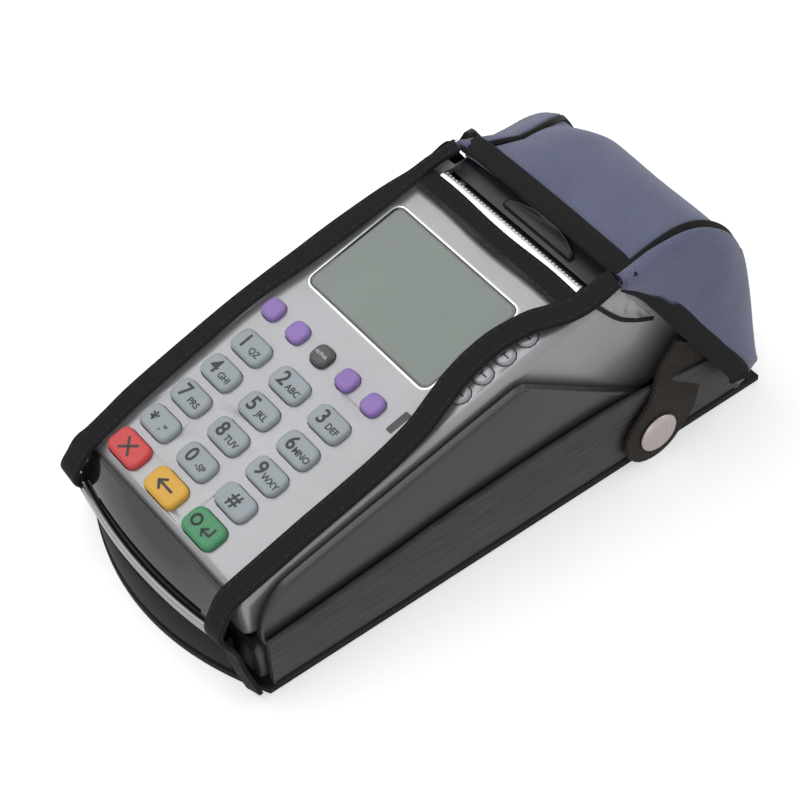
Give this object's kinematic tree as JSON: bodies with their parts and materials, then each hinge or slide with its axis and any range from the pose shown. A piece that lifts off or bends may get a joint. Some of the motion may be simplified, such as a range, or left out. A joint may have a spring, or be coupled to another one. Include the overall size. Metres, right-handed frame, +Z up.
{
  "type": "card payment terminal",
  "caption": "Countertop card payment terminal with keypad, display, receipt printer, swipe slot and chip slot, in a fitted carry case with a clear window and a fold-back hood.",
  "frame": {"origin": "middle of the carry case's underside, on the surface it stands on", "axes": "+Z up, -Y is the front where the chip card goes in, +X is the swipe slot side"},
  "size_m": [0.1113, 0.2105, 0.0835],
  "materials": {
    "silver_casing": "satin metallic paint",
    "dark_casing": "fine moulded texture",
    "gloss_black": "polished",
    "key_grey": "matte",
    "key_red": "matte",
    "key_yellow": "matte",
    "key_green": "matte",
    "key_purple": "matte",
    "key_dark": "matte",
    "key_silver": "satin",
    "display_lens": "clear over grey-green",
    "circuit_board": "lacquered",
    "rubber": "matte",
    "steel": "bright",
    "white_nylon": "moulded",
    "paper": "uncoated",
    "case_fabric": "coated cloth",
    "case_panel": "streaked coated cloth",
    "binding_tape": "fine cross ribs",
    "clear_film": "clear flexible film",
    "hood_cloth": "diagonal knit",
    "webbing": "coarse weave",
    "brushed_nickel": "brushed"
  },
  "bodies": {
    "terminal": {"upper_casing": "silver_casing", "lower_casing": "dark_casing", "front_chin": "gloss_black", "swipe_wall": "dark_casing", "display_lens": "display_lens", "lcd_module": "circuit_board", "main_board": "circuit_board", "keypad_mat": "rubber", "printer_bezel": "gloss_black", "tear_bar": "steel", "print_head": "dark_casing", "feed_motor": "steel", "cover_hinge_pin": "steel", "printer_frame": "steel", "power_socket": "dark_casing", "line_socket": "dark_casing", "chip_card_reader": "dark_casing", "case_base": "case_fabric", "case_front": "case_fabric", "case_side_right": "case_panel", "case_side_left": "case_panel", "binding_tape_right": "binding_tape", "binding_tape_left": "binding_tape", "film_window": "clear_film"},
    "key_1": {"key_1": "key_grey"},
    "key_2": {"key_2": "key_grey"},
    "key_3": {"key_3": "key_grey"},
    "key_4": {"key_4": "key_grey"},
    "key_5": {"key_5": "key_grey"},
    "key_6": {"key_6": "key_grey"},
    "key_7": {"key_7": "key_grey"},
    "key_8": {"key_8": "key_grey"},
    "key_9": {"key_9": "key_grey"},
    "key_star": {"key_star": "key_grey"},
    "key_0": {"key_0": "key_grey"},
    "key_hash": {"key_hash": "key_grey"},
    "key_cancel": {"key_cancel": "key_red"},
    "key_clear": {"key_clear": "key_yellow"},
    "key_enter": {"key_enter": "key_green"},
    "function_key_1": {"function_key_1": "key_purple"},
    "function_key_2": {"function_key_2": "key_purple"},
    "function_key_3": {"function_key_3": "key_dark"},
    "function_key_4": {"function_key_4": "key_purple"},
    "function_key_5": {"function_key_5": "key_purple"},
    "soft_key_1": {"soft_key_1": "key_silver"},
    "soft_key_2": {"soft_key_2": "key_silver"},
    "soft_key_3": {"soft_key_3": "key_silver"},
    "soft_key_4": {"soft_key_4": "key_silver"},
    "read_head": {"mag_read_head": "steel"},
    "hood": {"hood": "hood_cloth", "strap_right": "webbing", "strap_left": "webbing", "snap_cap_right": "brushed_nickel", "snap_cap_left": "brushed_nickel"},
    "printer_cover": {"printer_cover": "dark_casing"},
    "cover_latch": {"cover_latch": "gloss_black"},
    "platen": {"platen_roller": "rubber", "platen_gear": "white_nylon"},
    "motor_gear": {"motor_gear": "white_nylon"},
    "paper_roll": {"paper_roll": "paper"}
  },
  "joints": [
    {"name": "key_1_press", "type": "slide", "parent": "terminal", "child": "key_1", "axis": [0, 0.261, -0.9653], "range_m": [0, 0.0012], "stiffness_N_per_m": 600, "springref_m": -0.0003},
    {"name": "key_2_press", "type": "slide", "parent": "terminal", "child": "key_2", "axis": [0, 0.261, -0.9653], "range_m": [0, 0.0012], "stiffness_N_per_m": 600, "springref_m": -0.0003},
    {"name": "key_3_press", "type": "slide", "parent": "terminal", "child": "key_3", "axis": [0, 0.261, -0.9653], "range_m": [0, 0.0012], "stiffness_N_per_m": 600, "springref_m": -0.0003},
    {"name": "key_4_press", "type": "slide", "parent": "terminal", "child": "key_4", "axis": [0, 0.261, -0.9653], "range_m": [0, 0.0012], "stiffness_N_per_m": 600, "springref_m": -0.0003},
    {"name": "key_5_press", "type": "slide", "parent": "terminal", "child": "key_5", "axis": [0, 0.261, -0.9653], "range_m": [0, 0.0012], "stiffness_N_per_m": 600, "springref_m": -0.0003},
    {"name": "key_6_press", "type": "slide", "parent": "terminal", "child": "key_6", "axis": [0, 0.261, -0.9653], "range_m": [0, 0.0012], "stiffness_N_per_m": 600, "springref_m": -0.0003},
    {"name": "key_7_press", "type": "slide", "parent": "terminal", "child": "key_7", "axis": [0, 0.261, -0.9653], "range_m": [0, 0.0012], "stiffness_N_per_m": 600, "springref_m": -0.0003},
    {"name": "key_8_press", "type": "slide", "parent": "terminal", "child": "key_8", "axis": [0, 0.261, -0.9653], "range_m": [0, 0.0012], "stiffness_N_per_m": 600, "springref_m": -0.0003},
    {"name": "key_9_press", "type": "slide", "parent": "terminal", "child": "key_9", "axis": [0, 0.261, -0.9653], "range_m": [0, 0.0012], "stiffness_N_per_m": 600, "springref_m": -0.0003},
    {"name": "key_star_press", "type": "slide", "parent": "terminal", "child": "key_star", "axis": [0, 0.261, -0.9653], "range_m": [0, 0.0012], "stiffness_N_per_m": 600, "springref_m": -0.0003},
    {"name": "key_0_press", "type": "slide", "parent": "terminal", "child": "key_0", "axis": [0, 0.261, -0.9653], "range_m": [0, 0.0012], "stiffness_N_per_m": 600, "springref_m": -0.0003},
    {"name": "key_hash_press", "type": "slide", "parent": "terminal", "child": "key_hash", "axis": [0, 0.261, -0.9653], "range_m": [0, 0.0012], "stiffness_N_per_m": 600, "springref_m": -0.0003},
    {"name": "key_cancel_press", "type": "slide", "parent": "terminal", "child": "key_cancel", "axis": [0, 0.261, -0.9653], "range_m": [0, 0.0012], "stiffness_N_per_m": 600, "springref_m": -0.0003},
    {"name": "key_clear_press", "type": "slide", "parent": "terminal", "child": "key_clear", "axis": [0, 0.261, -0.9653], "range_m": [0, 0.0012], "stiffness_N_per_m": 600, "springref_m": -0.0003},
    {"name": "key_enter_press", "type": "slide", "parent": "terminal", "child": "key_enter", "axis": [0, 0.261, -0.9653], "range_m": [0, 0.0012], "stiffness_N_per_m": 600, "springref_m": -0.0003},
    {"name": "function_key_1_press", "type": "slide", "parent": "terminal", "child": "function_key_1", "axis": [0, 0.261, -0.9653], "range_m": [0, 0.001], "stiffness_N_per_m": 600, "springref_m": -0.0003},
    {"name": "function_key_2_press", "type": "slide", "parent": "terminal", "child": "function_key_2", "axis": [0, 0.261, -0.9653], "range_m": [0, 0.001], "stiffness_N_per_m": 600, "springref_m": -0.0003},
    {"name": "function_key_3_press", "type": "slide", "parent": "terminal", "child": "function_key_3", "axis": [0, 0.261, -0.9653], "range_m": [0, 0.001], "stiffness_N_per_m": 600, "springref_m": -0.0003},
    {"name": "function_key_4_press", "type": "slide", "parent": "terminal", "child": "function_key_4", "axis": [0, 0.261, -0.9653], "range_m": [0, 0.001], "stiffness_N_per_m": 600, "springref_m": -0.0003},
    {"name": "function_key_5_press", "type": "slide", "parent": "terminal", "child": "function_key_5", "axis": [0, 0.261, -0.9653], "range_m": [0, 0.001], "stiffness_N_per_m": 600, "springref_m": -0.0003},
    {"name": "soft_key_1_press", "type": "slide", "parent": "terminal", "child": "soft_key_1", "axis": [0, 0.261, -0.9653], "range_m": [0, 0.0006], "stiffness_N_per_m": 600, "springref_m": -0.0003},
    {"name": "soft_key_2_press", "type": "slide", "parent": "terminal", "child": "soft_key_2", "axis": [0, 0.261, -0.9653], "range_m": [0, 0.0006], "stiffness_N_per_m": 600, "springref_m": -0.0003},
    {"name": "soft_key_3_press", "type": "slide", "parent": "terminal", "child": "soft_key_3", "axis": [0, 0.261, -0.9653], "range_m": [0, 0.0006], "stiffness_N_per_m": 600, "springref_m": -0.0003},
    {"name": "soft_key_4_press", "type": "slide", "parent": "terminal", "child": "soft_key_4", "axis": [0, 0.261, -0.9653], "range_m": [0, 0.0006], "stiffness_N_per_m": 600, "springref_m": -0.0003},
    {"name": "read_head_float", "type": "slide", "parent": "terminal", "child": "read_head", "axis": [-1, 0, 0], "range_m": [0, 0.0006], "stiffness_N_per_m": 800, "springref_m": -0.0003},
    {"name": "hood_hinge", "type": "hinge", "parent": "terminal", "child": "hood", "pos_m": [-0.0013, 0.0993, 0.0086], "axis": [-1, 0, 0], "range_deg": [0, 80]},
    {"name": "printer_cover_hinge", "type": "hinge", "parent": "terminal", "child": "printer_cover", "pos_m": [0.00075, 0.092, 0.046], "axis": [-1, 0, 0], "range_deg": [0, 64]},
    {"name": "cover_latch_lift", "type": "hinge", "parent": "printer_cover", "child": "cover_latch", "pos_m": [0.006, 0.0522, 0.0747], "axis": [-1, 0, 0], "range_deg": [0, 8], "stiffness_Nm_per_rad": 0.02},
    {"name": "platen_spin", "type": "hinge", "parent": "printer_cover", "child": "platen", "pos_m": [0.00075, 0.0484, 0.0647], "axis": [1, 0, 0], "continuous": true},
    {"name": "motor_gear_spin", "type": "hinge", "parent": "terminal", "child": "motor_gear", "pos_m": [-0.0297, 0.04397, 0.05436], "axis": [1, 0, 0], "continuous": true},
    {"name": "paper_roll_spin", "type": "hinge", "parent": "terminal", "child": "paper_roll", "pos_m": [0.00075, 0.071, 0.05], "axis": [1, 0, 0], "continuous": true}
  ],
  "couplings": [
    {"joint": "printer_cover_hinge", "follows": "hood_hinge", "ratio": 0.8},
    {"joint": "motor_gear_spin", "follows": "platen_spin", "ratio": -0.78947},
    {"joint": "paper_roll_spin", "follows": "platen_spin", "ratio": -0.25882}
  ]
}
